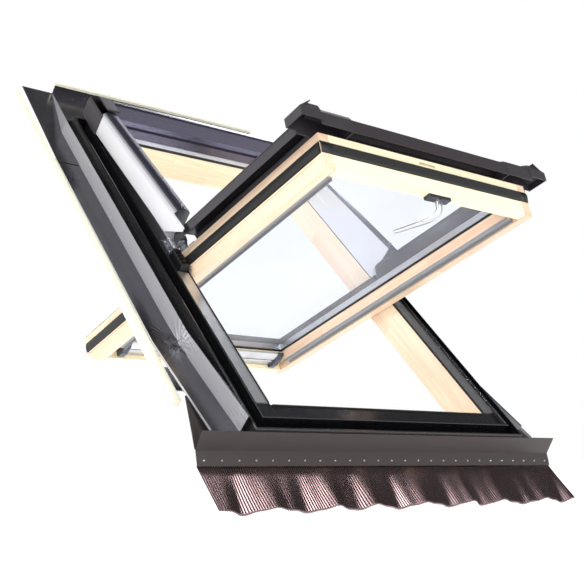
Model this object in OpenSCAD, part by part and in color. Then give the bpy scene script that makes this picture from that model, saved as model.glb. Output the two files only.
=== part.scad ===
// Centre-pivot pine roof window with its roof flashing, standing open on a sloping roof.
// Working axes before the roof slope is applied: X across, Y up the slope, Z out of the roof.
// Y = 0 is the middle of the bottom frame member and Z = 0 is the room side of the frame.

/* [Window] */
// Outer width of the wooden frame
frame_w = 740; // [640:10:900]
// Outer height of the wooden frame, measured up the slope
frame_h = 1180; // [960:10:1450]
// Slope of the roof in degrees
roof_pitch = 45; // [20:1:60]
// How far the sash stands open in degrees
sash_open = 62; // [0:1:78]

/* [Frame members] */
// Width of a side member
side_w = 70; // [66:1:84]
// Width of the bottom member
bottom_w = 72; // [66:1:90]
// Width of the head member
top_w = 86; // [80:1:100]
// Height of the wood at the inner edge
wood_d = 75; // [70:1:90]
// Depth of the rain gutter below the wood's inner edge
gutter_d = 25; // [20:1:32]
// Sheet thickness of the aluminium profiles on the frame
profile_t = 2; // [1.5:0.1:3]

/* [Sash] */
// Gap between the sash and the frame at each side
sash_gap = 3.5; // [2.5:0.1:5]
// Depth of the sash wood below the pivot axis
sash_d = 105; // [100:1:115]
// Distance from the pivot axis down to the outer face of the sash wood
sash_top_d = 26; // [24:1:30]
// Width of a sash side member
stile_w = 46.5; // [44:0.5:56]
// Width of the room face of the bottom rail
rail_lip = 20; // [16:1:30]
// Width of the head rail of the sash
head_rail_w = 113; // [100:1:125]
// Width of the room-side lip of a sash side member
stile_lip = 23; // [18:1:28]
// Width of the glazing rebate
rebate_w = 20; // [16:1:24]
// Thickness of one glass pane
pane_t = 4; // [3:1:6]
// Gap between the two panes
pane_gap = 16; // [12:1:18]
// Sheet thickness of the covers
cover_t = 1.5; // [1:0.1:2]

/* [Hinge and handle] */
// Radius of the pivot pin
pin_r = 6; // [5:0.5:8]
// Running clearance of the pivot pin, on the radius
pin_gap = 0.05; // [0.03:0.01:0.1]
// Radius of the handle spindle
spindle_r = 5; // [4:0.5:6]
// Length of the handle grip
grip_len = 100; // [85:1:120]
// Angle between the grip and the slope when the lock is open
grip_turn = 34; // [0:1:45]

/* [Flashing] */
// Sheet thickness of the flashing
flash_t = 1; // [0.7:0.1:1.5]
// Width of the flat part at each side
flash_w = 63; // [50:1:80]
// Height of the flashing's upstand
upstand_h = 40; // [30:1:44]
// Length of the head flashing above the frame
head_flash_l = 256; // [180:1:300]
// Height that the side flashing has risen at its lower end
flash_rise = 28; // [15:1:34]
// Length of the pleated apron down the slope
apron_l = 103; // [80:1:140]
// Number of rivets along the apron
rivet_n = 26; // [10:1:40]
// Distance between the two screw holes of a bracket foot
foot_pitch = 40; // [30:1:50]
// Radius of a bracket foot's screw holes
foot_hole_r = 2.75; // [2:0.25:3.5]

/* [Hidden] */
$fn = 32;
eps = 0.01;
// Seat gap between pieces that touch without being joined
seat = 0.3;

open_w = frame_w - 2 * side_w;
open_h = frame_h - bottom_w - top_w;
half_w = frame_w / 2;
half_open = open_w / 2;
y_out0 = -bottom_w / 2;
y_in0 = bottom_w / 2;
y_in1 = y_in0 + open_h;
y_out1 = y_out0 + frame_h;
pivot_y = (y_in0 + y_in1) / 2;

// Heights of the frame's parts above its room side
shelf_z = wood_d + profile_t;
lip_z = shelf_z + 8;
outer_lip_z = shelf_z + 4;
gutter_z = shelf_z - gutter_d - profile_t;
pivot_z = sash_d;
// Gutter and lips as distances from the frame's inner edge
lip_in = 40;
gutter_in = 43;
gutter_out = side_w - 7;

// Sash sizes; s runs from the pivot down the slope, t from the pivot axis outwards
sash_half = half_open - sash_gap;
sash_bottom_s = open_h / 2 - 14;
sash_top_s = -(open_h / 2 - 6);
sash_wood_t = -sash_top_d;
stile_in = sash_half - stile_w;
stile_rebate = stile_in + rebate_w;
glass_seat_t = -sash_d + 35;
pane_in_t = glass_seat_t + 4;
spacer_t = pane_in_t + pane_t;
pane_out_t = spacer_t + pane_gap;
glass_top_t = pane_out_t + pane_t;
rail_in_s = sash_bottom_s - rail_lip - 15;
rail_rebate_s = rail_in_s + rebate_w - 2;
head_in_s = sash_top_s + head_rail_w;
head_rebate_s = head_in_s - rebate_w;
pane_edge = 3.5;
channel_d = 10;
channel_x = sash_half - stile_lip;
head_cut = 42;
seal_t0 = glass_seat_t;
seal_t1 = seal_t0 + 27;
seal_cut = 3;

// Sash covers
cover_s0 = 22;
cover_s1 = rail_rebate_s - 6;
cover_top_t = 7;
skirt_x = half_open + 30;
skirt_t = -24;
front_s = open_h / 2 + 10;
cap_in_x = stile_rebate - 46;
cover_lip = 0.3;

// Upper covers on the frame
up_x = half_open + 40;
up_in_x = half_open + 1;
up_h = 40;
up_round = 24;
up_tilt = 2.9;
up_y0 = pivot_y + 11;
up_y1 = y_in1 - 4;
up_base = shelf_z + 12;
up_wall_y = pivot_y - 55;
head_y0 = y_in1 + 1;
head_y1 = y_out1 + 14;

// Flashing
flash_z = 21;
flash_in = half_w + 10;
flash_out = flash_in + flash_w;
kick_y = y_out0 + frame_h * 0.26;
ramp_y = y_out0 + 26;
ramp_a = atan(flash_rise / (kick_y - ramp_y));
seam_y = y_in1 - 64;
head_flash_y = y_out1 + head_flash_l;
sill_x = flash_out + 40;
sill_top = 74;
sill_y0 = y_out0 - seat;
sill_y1 = y_out0 - 10;
sill_z1 = flash_z + 15;
sill_y2 = y_out0 - 34;
ear_x = flash_in - 4;
ear_y = y_out0 + 132;
apron_waves = 8;
apron_amp = 7;
apron_t = 1.5;

// Brackets
screw_z = 15;
foot_t = 2.5;
bracket_w = 70;
foot_len = 56;
bracket_y = [y_in0 + 150, y_in1 - 150];
screw_r = 2.2;
screw_head_r = 4.5;

// Handle
handle_x = 6;
base_w = 62;
base_h = 18;
base_d = 7;
neck_l = 32;
lever_r = 5.5;

// ---------- helpers ----------

function unit(v) = v / norm(v);
function normal_of(v) = [-v[1], v[0]];
function reversed(p) = [for (i = [len(p) - 1:-1:0]) p[i]];
function arc(c, r, a0, a1, n) =
    [for (i = [0:n]) let (a = a0 + (a1 - a0) * i / n) c + r * [cos(a), sin(a)]];
function beside(p, d) = [for (i = [0:len(p) - 1])
    let (
        a = unit(i == 0 ? p[1] - p[0] : p[i] - p[i - 1]),
        b = i == 0 || i == len(p) - 1 ? a : unit(p[i + 1] - p[i]),
        m = unit(normal_of(a) + normal_of(b))
    ) p[i] + m * d / (m * normal_of(a))];

// Folded sheet: the path is one face and the sheet lies to the left of it.
module sheet(path, t) {
    polygon(concat(path, reversed(beside(path, t))));
}

// Extrudes an (x, z) outline along Y.
module along_y(y0, y1) {
    translate([0, y1, 0]) rotate([90, 0, 0]) linear_extrude(y1 - y0) children();
}

// Extrudes a (y, z) outline along X.
module along_x(x0, x1) {
    translate([x0, 0, 0]) rotate([90, 0, 90]) linear_extrude(x1 - x0) children();
}

// A block from its lowest to its highest corner.
module block(a, b) {
    translate(a) cube(b - a);
}

module on_side(side) {
    if (side < 0) mirror([1, 0, 0]) children();
    else children();
}

// Tilts the whole window to the roof's slope.
module installed() {
    rotate([roof_pitch, 0, 0]) children();
}

// Carries a piece drawn in the closed sash to where the sash stands open.
module opened() {
    installed()
        translate([0, pivot_y, pivot_z]) rotate([-sash_open, 0, 0]) children();
}

// Sash outlines use s (down the slope from the pivot) and t (outwards); Y is -s.
function st(p) = [for (q = p) [-q[0], q[1]]];

module rail_along_x(x0, x1, p) {
    along_x(x0, x1) polygon(st(p));
}

// ---------- fixed frame ----------

// Section of a side member's wood: x from the inner edge outwards.
function wood_section(w) = [
    [0, 0], [w - profile_t - eps, 0], [w - profile_t - eps, gutter_z],
    [(gutter_in - profile_t - 1) * w / side_w, gutter_z],
    [(gutter_in - profile_t - 1) * w / side_w, wood_d], [0, wood_d]
];

// Section of the aluminium profile: shelf, inner lip, gutter and outer lip.
function profile_section(w) = let (k = w / side_w, t = profile_t) [
    [0, wood_d + eps], [(gutter_in - 3) * k, wood_d + eps], [(gutter_in - 3) * k, gutter_z + eps],
    [w - t, gutter_z + eps], [w - t, 30], [w, 30], [w, outer_lip_z - 2],
    [w - 2, outer_lip_z], [w - 5 * k, outer_lip_z], [w - 5 * k, gutter_z + t],
    [gutter_in * k, gutter_z + t], [gutter_in * k, lip_z - 1], [(gutter_in - 1) * k, lip_z],
    [(lip_in - 1) * k, lip_z], [(lip_in - 2) * k, lip_z - 2], [(lip_in - 3) * k, shelf_z],
    [0, shelf_z]
];

module frame_side(side) {
    color("burlywood") installed() on_side(side) difference() {
        along_y(y_out0, y_out1) translate([half_open, 0]) polygon(wood_section(side_w));
        lining_groove_y();
        corner_gutter(y_in0, -bottom_w);
        corner_gutter(y_in1, top_w);
    }
}

// Room in a side member's end for the profile that runs across it.
module corner_gutter(y_in, w) {
    translate([0, y_in, 0]) scale([1, w > 0 ? 1 : -1, 1]) {
        block([half_open - 1, (gutter_in - 3) * abs(w) / side_w, gutter_z],
              [half_w + 1, abs(w) + 1, 200]);
        block([half_open - 1, abs(w) - profile_t - eps, 30 - eps], [half_w + 1, abs(w) + 1, 200]);
    }
}

// Groove round the room side that takes the wall lining.
module lining_groove_y() {
    block([half_w - 24, y_out0 - 1, -1], [half_w - 14, y_out1 + 1, 8]);
}

module frame_bottom_rail() {
    color("burlywood") installed() difference() {
        along_x(-half_open, half_open) translate([y_in0, 0])
            mirror([1, 0]) polygon(wood_section(bottom_w));
        striker_window(4, 3, 12);
    }
}

module frame_top_rail() {
    color("burlywood") installed() along_x(-half_open, half_open) translate([y_in1, 0])
        polygon(wood_section(top_w));
}

// Wedge that keeps one member's side of the mitre from inner to outer corner.
module mitre_keep_side() {
    linear_extrude(2 * lip_z) polygon([
        [half_open, y_in0], [half_w, y_out0], [half_w + 10, y_out0], [half_w + 10, y_out1],
        [half_w, y_out1], [half_open, y_in1]
    ]);
}

module profile_side(side) {
    color("#1c1c20") installed() on_side(side) intersection() {
        along_y(y_out0, y_out1) translate([half_open, 0]) polygon(profile_section(side_w));
        mitre_keep_side();
    }
}

module profile_end(y_in, w, dir) {
    color("#1c1c20") installed() intersection() {
        along_x(-half_w, half_w) translate([y_in, 0]) mirror([dir < 0 ? 1 : 0, 0])
            polygon(profile_section(w));
        linear_extrude(2 * lip_z) polygon([
            [-half_open, y_in], [half_open, y_in], [half_w, y_in + dir * w],
            [-half_w, y_in + dir * w]
        ]);
    }
}

// Silver strip that slopes up from the gasket to the inner lip.
module rebate_strip(side) {
    color("gainsboro") installed() on_side(side) difference() {
        along_y(y_in0 + 4, y_in1 - 4) polygon([
            [half_open + 4, shelf_z + seat / 3], [half_open + lip_in - 4, shelf_z + seat / 3],
            [half_open + lip_in - 4, shelf_z + 3], [half_open + 4, shelf_z + 1]
        ]);
        block([half_open, pivot_y - 88, shelf_z - 1], [half_w, y_in1 + 9, lip_z + 9]);
    }
}

module rebate_strip_head() {
    color("gainsboro") installed() along_x(-half_open + 6, half_open - 6) translate([y_in1, 0])
        polygon([[0.5, shelf_z + 6], [6, shelf_z + 6], [6, shelf_z + 17], [0.5, shelf_z + 17]]);
}

// Black gaskets along the inner edge of the shelf.
module frame_seals() {
    h = 2.5;
    color("#111111") installed() {
        for (side = [-1, 1]) on_side(side)
            along_y(y_in0 + 4, up_y0 - 1) polygon([
                [half_open + 0.5, shelf_z], [half_open + 3.5, shelf_z],
                [half_open + 3, shelf_z + h], [half_open + 1, shelf_z + h]
            ]);
        along_x(-half_open + 4, half_open - 4) translate([y_in0, 0])
            polygon([[-0.5, shelf_z], [-1, shelf_z + h], [-3, shelf_z + h], [-3.5, shelf_z]]);
        along_x(-half_open + 6, half_open - 6) translate([y_in1, 0])
            polygon([[0.5, shelf_z], [6, shelf_z], [6, shelf_z + 5.7], [0.5, shelf_z + 5.7]]);
    }
}

// ---------- covers on the upper half of the frame ----------

up_path = concat(
    [[up_x, 0]],
    arc([up_x - up_round, up_h], up_round, 0, 90, 8),
    [[up_in_x + 6, up_h + up_round], [up_in_x, up_h + up_round - 6], [up_in_x, -60]]
);

// Raises the cover towards the pivot, so that it laps over the sash covers.
module lifted_to_pivot() {
    translate([0, up_y1, up_base]) rotate([-up_tilt, 0, 0]) translate([0, -up_y1, 0]) children();
}

module upper_cover(side) {
    color(side < 0 ? "silver" : "dimgray") installed() on_side(side) difference() {
        lifted_to_pivot() along_y(up_wall_y, up_y1) sheet(up_path, cover_t);
        block([half_open - 5, 0, 0], [up_x - 5, up_y1 + 9, shelf_z + seat / 3]);
        block([0, 0, 0], [up_x - cover_t - 0.5, up_y0, 300]);
        along_x(up_x - 5, up_x + 5) polygon([
            [0, 0], [pivot_y + 10, 0], [pivot_y + 10, shelf_z + 40], [up_wall_y, shelf_z + 82],
            [up_wall_y, 300], [0, 300]
        ]);
        translate([screw_x, up_y0 + 18, up_base]) cylinder(h = 160, r = screw_r + seat);
    }
}

screw_x = up_x - 26;
screw_top = up_base + up_h + up_round + (up_y1 - up_y0 - 18) * sin(up_tilt) + 0.5;
// Screws that hold the lower ends of the upper covers down to the hinge plates.
module cover_screws() {
    color("#2a2a2e") installed() for (side = [-1, 1]) on_side(side)
        translate([screw_x, up_y0 + 18, screw_top - 20]) {
            cylinder(h = 21, r = screw_r);
            translate([0, 0, 20]) cylinder(h = 2, r = screw_head_r);
        }
}

cap_split_x = up_in_x - 6;
head_path = concat(
    [[head_y1, shelf_z + 4], [head_y1, shelf_z + 40]],
    arc([head_y1 - 42, shelf_z + 38], 42, 10, 110, 7),
    [[head_y0 + 16, shelf_z + 54], [head_y0 + 13, shelf_z + 42], [head_y0 + 4, shelf_z + 38],
     [head_y0 + 1, shelf_z + 17 + seat]]
);

module head_cover() {
    color("#4a4650") installed() along_x(-cap_split_x, cap_split_x) sheet(head_path, cover_t);
}

// Rounded corner cap between the head cover and a side cover.
module head_cap(side) {
    wall = 2;
    y0 = up_y1 - 6;
    x1 = up_x + seat + wall;
    z1 = up_base + up_h + up_round + 5;
    color("darkgray") installed() on_side(side) difference() {
        along_x(cap_split_x + seat, x1) polygon(concat(
            [[y0, shelf_z + 9], [y0, z1 - 10]], arc([y0 + 12, z1 - 12], 12, 180, 90, 5),
            arc([head_y1 - 34, z1 - 34], 34, 90, 0, 7), [[head_y1, shelf_z + 9]]
        ));
        along_x(cap_split_x - 1, x1 - wall) polygon(concat(
            [[y0 - 1, 0], [y0 - 1, z1 - wall]],
            arc([head_y1 - 34, z1 - 34], 34 - wall, 90, 0, 7), [[head_y1 - wall, 0]]
        ));
        along_y(y0 - 1, head_y1 + 1) polygon([
            [x1 + 1, z1 - 22], [x1 + 1, z1 + 1], [x1 - 15, z1 + 1], [x1 - 5, z1 - 6], [x1, z1 - 22]
        ]);
    }
}

// ---------- flashing ----------

side_flash_path = [
    [flash_out, flash_z + 6], [flash_out, flash_z], [flash_in, flash_z],
    [flash_in, flash_z + upstand_h], [flash_in - 4, flash_z + upstand_h]
];

// Part of the side flashing above the crinkled fold.
module flashing_upper() {
    along_y(kick_y, seam_y) sheet(reversed(side_flash_path), flash_t);
}

// Part below the fold, which ramps up over the corner of the sill flashing.
module flashing_lower() {
    translate([0, kick_y, flash_z]) rotate([-ramp_a, 0, 0]) translate([0, -kick_y, -flash_z])
        along_y(ramp_y - 6, kick_y + 1) sheet(reversed(side_flash_path), flash_t);
}

module side_flashing(side) {
    color("dimgray") installed() on_side(side) {
        flashing_upper();
        flashing_lower();
    }
}

// Head flashing: a flat with two legs, an upstand behind the frame and a turned-up back edge.
module head_flashing() {
    z0 = flash_z + flash_t + seat;
    back = y_out1 + 10;
    leg = flash_out - 2;
    leg_in = flash_in + flash_t + seat;
    leg_up = flash_in - 1;
    slant = flash_in - 42;
    color("#3c3b40") installed() {
        translate([0, 0, z0]) linear_extrude(flash_t) polygon([
            [-leg, seam_y - 12], [-leg_in, seam_y - 12], [-leg_in, seam_y + 0.5], [-leg_up, seam_y + 0.5],
            [-leg_up, back - 0.5], [leg_up, back - 0.5], [leg_up, seam_y + 0.5],
            [leg_in, seam_y + 0.5], [leg_in, seam_y - 12], [leg, seam_y - 12], [leg - 14, head_flash_y],
            [-leg + 14, head_flash_y]
        ]);
        for (side = [-1, 1]) on_side(side) {
            block([leg_up, seam_y + 0.5, z0], [leg_up + flash_t, back, flash_z + upstand_h]);
            translate([leg_up, back - 0.4, 0]) rotate([0, 0, atan(42 / (head_flash_y - back))])
                along_x(0, flash_t) polygon([
                    [0, z0 + 0.2], [head_flash_y - back - 4, z0 + 0.2], [head_flash_y - back - 4, z0 + 3],
                    [3, flash_z + upstand_h - 0.4], [0, flash_z + upstand_h - 0.4]
                ]);
        }
        block([-leg_up - 0.5, back - flash_t, z0 + 0.1], [leg_up + 0.5, back, flash_z + upstand_h - 0.2]);
        block([-slant, head_flash_y - flash_t - 0.2, z0 + 0.1], [slant, head_flash_y - 0.2, z0 + 26]);
    }
}

ear_z = flash_z + (kick_y - ear_y) * tan(ramp_a) - flash_t - seat;
module sill_flashing() {
    color("#4b4444") installed() {
        along_x(-sill_x, sill_x) sheet([
            [sill_y2, flash_z], [sill_y1, sill_z1], [sill_y0 - 0.5, sill_top], [sill_y0, sill_top]
        ], flash_t);
        for (side = [-1, 1]) on_side(side) intersection() {
            along_x(ear_x, sill_x) polygon([
                [sill_y1, sill_z1], [ramp_y, ear_z], [ear_y, ear_z],
                [ear_y, ear_z + flash_t], [ramp_y, ear_z + flash_t], [sill_y1, sill_z1 + flash_t]
            ]);
            linear_extrude(200) polygon([
                [ear_x, sill_y1 - 1], [sill_x, sill_y1 - 1], [sill_x, sill_y1 + 6],
                [flash_out + 3, ear_y], [ear_x, ear_y]
            ]);
        }
    }
}

// Pleated apron under the sill flashing, drawn as a thin sheet in long waves.
apron_cols = apron_waves * 10;
apron_rows = [0, 0.04, 0.2, 0.6, 1];
function apron_point(i, j, t) = let (x = -sill_x + 2 * sill_x * i / apron_cols, k = apron_rows[j])
    [x, sill_y2 + 2 - apron_l * k,
     flash_z - t - seat / 3 - apron_amp * k + apron_amp * k * sin(360 * apron_waves * i / apron_cols
         + 40 * sin(360 * 3 * i / apron_cols))];
function apron_id(side, i, j) = side * (apron_cols + 1) * len(apron_rows) + j * (apron_cols + 1) + i;

module apron() {
    nr = len(apron_rows);
    nc = apron_cols;
    up = [for (i = [0:nc - 1], j = [0:nr - 2])
        [apron_id(0, i, j), apron_id(0, i + 1, j), apron_id(0, i + 1, j + 1), apron_id(0, i, j + 1)]];
    down = [for (i = [0:nc - 1], j = [0:nr - 2])
        [apron_id(1, i, j + 1), apron_id(1, i + 1, j + 1), apron_id(1, i + 1, j), apron_id(1, i, j)]];
    ends = [for (i = [0:nc - 1], j = [0, nr - 1])
        j == 0 ? [apron_id(1, i, 0), apron_id(1, i + 1, 0), apron_id(0, i + 1, 0), apron_id(0, i, 0)]
        : [apron_id(0, i, j), apron_id(0, i + 1, j), apron_id(1, i + 1, j), apron_id(1, i, j)]];
    sides = [for (j = [0:nr - 2], i = [0, nc])
        i == 0 ? [apron_id(0, 0, j), apron_id(0, 0, j + 1), apron_id(1, 0, j + 1), apron_id(1, 0, j)]
        : [apron_id(1, nc, j), apron_id(1, nc, j + 1), apron_id(0, nc, j + 1), apron_id(0, nc, j)]];
    color("#6b5f5f") installed()
        polyhedron(
            [for (side = [0, 1], j = [0:nr - 1], i = [0:nc]) apron_point(i, j, side * apron_t)],
            concat(up, down, ends, sides), convexity = 6
        );
}

module apron_rivets() {
    step = (2 * sill_x - 30) / (rivet_n - 1);
    a = atan((sill_z1 - flash_z) / (sill_y1 - sill_y2));
    color("lightgray") installed() for (i = [0:rivet_n - 1])
        translate([-sill_x + 15 + i * step, sill_y2, flash_z]) rotate([a, 0, 0])
            translate([0, 10, flash_t + seat / 3]) cylinder(h = 1.4, r1 = 2, r2 = 1.2);
}

// Foam strip outside the side flashing's edge, running down to the sill flashing.
module side_foam(side) {
    color("ivory") installed() on_side(side)
        along_y(ear_y + 6, head_flash_y - 30) polygon([
            [flash_out + seat, flash_z - 15], [flash_out + 18, flash_z - 15],
            [flash_out + 14, flash_z - seat], [flash_out + seat, flash_z - seat]
        ]);
}

module head_foam() {
    slant = flash_in - 42;
    color("ivory") installed() block(
        [-slant, head_flash_y + seat, flash_z + 10], [slant, head_flash_y + 10, flash_z + 34]);
}

// ---------- brackets ----------

module bracket(side, y) {
    on_side(side) difference() {
        union() {
            block([half_w + seat / 3, y - bracket_w / 2, 0],
                  [half_w + seat / 3 + foot_t, y + bracket_w / 2, 30]);
            block([half_w + seat / 3, y - bracket_w / 2, 0],
                  [half_w + foot_len, y + bracket_w / 2, foot_t]);
        }
        for (d = [-1, 1]) {
            translate([half_w + foot_len - 16, y + d * foot_pitch / 2, -1])
                cylinder(h = foot_t + 2, r = foot_hole_r);
            translate([half_w - 1, y + d * 22, screw_z]) rotate([0, 90, 0])
                cylinder(h = foot_t + 4, r = screw_r + pin_gap);
        }
    }
}

// Four angle brackets that screw the frame down to the roof's battens.
module mounting_brackets() {
    color("lightsteelblue") installed() for (side = [-1, 1], y = bracket_y) bracket(side, y);
}

// Two screws a bracket, through its upright leg into the frame.
module bracket_screws() {
    color("silver") installed() for (side = [-1, 1], y = bracket_y, d = [-1, 1]) on_side(side)
        translate([half_w + seat / 3 + foot_t, y + d * 22, screw_z]) rotate([0, 90, 0]) {
            translate([0, 0, -foot_t - seat / 3]) cylinder(h = foot_t + seat / 3 + 1, r = screw_r);
            cylinder(h = 2.2, r1 = screw_head_r, r2 = screw_head_r - 1.5);
        }
}

// ---------- hinges ----------

plate_x = half_open + 5;
plate_w = 21;
plate_t = 4;
arm_x = sash_half - 4.5;

// Toothed friction plate on the frame, with the pivot pin.
module hinge_plate(side) {
    teeth = 14;
    color("lightgray") installed() on_side(side) {
        block([plate_x, pivot_y - 22, shelf_z + seat / 3],
              [plate_x + plate_w, pivot_y + 34, shelf_z + 2.5]);
        block([plate_x, pivot_y - 16, shelf_z + 2], [plate_x + plate_t, pivot_y + 16, pivot_z]);
        translate([plate_x, pivot_y, pivot_z]) rotate([0, 90, 0]) {
            cylinder(h = plate_t, r = 16);
            for (i = [0:teeth - 1]) rotate([0, 0, i * 360 / teeth])
                translate([14, -1.6, 0]) cube([4.5, 3.2, plate_t]);
            translate([0, 0, arm_x - plate_x - 2]) cylinder(h = plate_x - arm_x + 3, r = pin_r);
            translate([0, 0, arm_x - plate_x - 4.5]) cylinder(h = 2.5, r = pin_r + 3);
        }
    }
}

// Black housing of the brake spring, below the pivot on the frame's shelf.
module hinge_housing(side) {
    color("#151517") installed() on_side(side) difference() {
        along_y(pivot_y - 84, pivot_y - 25) polygon(concat(
            [[half_open + 26, shelf_z + seat / 3]],
            arc([half_open + 18, shelf_z + 12], 8, 0, 90, 5),
            arc([half_open + 12, shelf_z + 12], 8, 90, 180, 5),
            [[half_open + 4, shelf_z + seat / 3]]
        ));
        for (i = [0:3])
            block([half_open + 3, pivot_y - 78 + i * 12, shelf_z + 17],
                  [half_open + 40, pivot_y - 74 + i * 12, shelf_z + 24]);
    }
}

// Sash side of a hinge: a foot on the stile and an eye round the pivot pin.
module hinge_arm(side) {
    color("silver") opened() on_side(side) difference() {
        union() {
            block([stile_rebate + 3, -44, sash_wood_t + seat / 3], [arm_x + 4, 44, sash_wood_t + 3]);
            translate([arm_x, 0, 0]) rotate([0, 90, 0]) cylinder(h = 4, r = 14);
            block([arm_x, -14, sash_wood_t + 1], [arm_x + 4, 14, 0]);
        }
        translate([arm_x - 1, 0, 0]) rotate([0, 90, 0]) cylinder(h = 6, r = pin_r + pin_gap);
    }
}

// ---------- sash ----------

// Section of a sash stile in (x, t), for the right side.
function stile_section() = [
    [sash_half, -sash_d], [sash_half, seal_t0 - 6], [sash_half - 1.5, seal_t0 - 6],
    [sash_half - 1.5, seal_t0 - 4.5], [sash_half, seal_t0 - 4.5], [sash_half, seal_t0],
    [sash_half - seal_cut, seal_t0], [sash_half - seal_cut, seal_t1], [sash_half, seal_t1],
    [sash_half, sash_wood_t], [stile_rebate, sash_wood_t], [stile_rebate, glass_seat_t],
    [stile_in, glass_seat_t], [stile_in, -sash_d + channel_d], [channel_x, -sash_d + channel_d],
    [channel_x + 1, -sash_d]
];

module sash_stile(side) {
    color("wheat") opened() on_side(side) difference() {
        along_y(-sash_bottom_s, -sash_top_s) polygon(stile_section());
        head_chamfer();
        rail_notch();
    }
}

// Slanted room-side corner at the head end, which clears the frame as the sash turns.
module head_chamfer() {
    along_x(-half_w, half_w) polygon(st([
        [sash_top_s - 1, -sash_d - 1], [sash_top_s + head_cut + 1, -sash_d - 1],
        [sash_top_s + head_cut, -sash_d], [sash_top_s, glass_seat_t], [sash_top_s - 1, glass_seat_t]
    ]));
}

// Room left in the stiles for the ends of the bottom and head rails.
module rail_notch() {
    block([0, -sash_bottom_s - 1, -sash_d - 1],
          [sash_half - 24, -rail_in_s, sash_wood_t + 1]);
    block([0, -head_in_s, -sash_d - 1], [sash_half - 24, -sash_top_s + 1, sash_wood_t + 1]);
}

module sash_bottom_rail() {
    s1 = sash_bottom_s;
    color("cornsilk") opened() difference() {
        rail_along_x(-sash_half + 24 + eps, sash_half - 24 - eps, [
            [s1, -sash_d], [s1, seal_t0], [s1 - seal_cut, seal_t0], [s1 - seal_cut, seal_t1],
            [s1, seal_t1], [s1, sash_wood_t], [rail_rebate_s, sash_wood_t],
            [rail_rebate_s, glass_seat_t], [rail_in_s, glass_seat_t], [s1 - rail_lip, -sash_d]
        ]);
        handle_bores();
    }
}

module sash_head_rail() {
    s0 = sash_top_s;
    color("cornsilk") opened() rail_along_x(-sash_half + 24 + eps, sash_half - 24 - eps, [
        [s0, sash_wood_t], [s0, seal_t1], [s0 + seal_cut, seal_t1], [s0 + seal_cut, seal_t0],
        [s0, seal_t0], [s0 + head_cut, -sash_d], [s0 + 65, -sash_d],
        [s0 + 65, vent_back_t], [head_in_s, vent_back_t], [head_in_s, glass_seat_t],
        [head_rebate_s, glass_seat_t], [head_rebate_s, sash_wood_t]
    ]);
}

// Grey channel for a blind, in the rebate on the room side of each stile.
module blind_channel(side) {
    floor_t = -sash_d + channel_d - seat / 3;
    color("darkgray") opened() on_side(side)
        along_y(-rail_in_s + 1, -head_in_s - 1) sheet([
            [stile_in + 0.5, -sash_d + 3], [stile_in + 0.5, floor_t],
            [channel_x - 0.5, floor_t], [channel_x - 0.5, -sash_d + 3]
        ], -1.2);
}

module pane(t0) {
    x = stile_rebate - pane_edge;
    block([-x, -rail_rebate_s + pane_edge, t0], [x, -head_rebate_s - pane_edge, t0 + pane_t]);
}

module pane_spacer() {
    x = stile_rebate - pane_edge - 2;
    y0 = -rail_rebate_s + pane_edge + 2;
    y1 = -head_rebate_s - pane_edge - 2;
    w = 12;
    color("gray") opened() difference() {
        block([-x, y0, spacer_t + eps], [x, y1, pane_out_t - eps]);
        block([-x + w, y0 + w, spacer_t - 1], [x - w, y1 - w, pane_out_t + 1]);
    }
}

// Strips between the rebate's seat and the inner pane.
module glazing_gaskets() {
    y0 = -rail_rebate_s + pane_edge;
    y1 = -head_rebate_s - pane_edge;
    w = rebate_w - pane_edge;
    color("#101010") opened() {
        for (side = [-1, 1]) on_side(side)
            block([stile_in - 1, y0, glass_seat_t + eps],
                  [stile_rebate - pane_edge, y1, pane_in_t - eps]);
        block([-stile_in + 2, y0, glass_seat_t + eps], [stile_in - 2, y0 + w - 2, pane_in_t - eps]);
        block([-stile_in + 2, y1 - w, glass_seat_t + eps], [stile_in - 2, y1, pane_in_t - eps]);
    }
}

// Aluminium beads that hold the pane where the sash has no cover: upper sides and head.
module glazing_beads() {
    lip = glass_top_t + seat;
    top = sash_wood_t + 3;
    color("#26262a") opened() {
        for (side = [-1, 1]) on_side(side) difference() {
            along_y(-cover_s0 + 2, -head_rebate_s) polygon([
                [stile_rebate - 10, lip], [stile_rebate - seat, lip],
                [stile_rebate - seat, sash_wood_t + seat / 3], [sash_half - 2, sash_wood_t + seat / 3],
                [sash_half - 2, top], [stile_rebate - 6, top], [stile_rebate - 10, lip + 4]
            ]);
            block([stile_rebate - 1, -60, sash_wood_t - 1], [sash_half + 1, 50, top + 1]);
        }
        rail_along_x(-sash_half + 2, sash_half - 2, [
            [head_rebate_s + 4, sash_wood_t + seat / 3], [sash_top_s + 2, sash_wood_t + seat / 3],
            [sash_top_s + 2, top], [head_rebate_s + 4, top]
        ]);
        rail_along_x(-stile_rebate + seat, stile_rebate - seat, [
            [head_rebate_s + 10, lip], [head_rebate_s + seat, lip], [head_rebate_s + seat, top],
            [head_rebate_s + 6, top], [head_rebate_s + 10, lip + 4]
        ]);
    }
}

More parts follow.
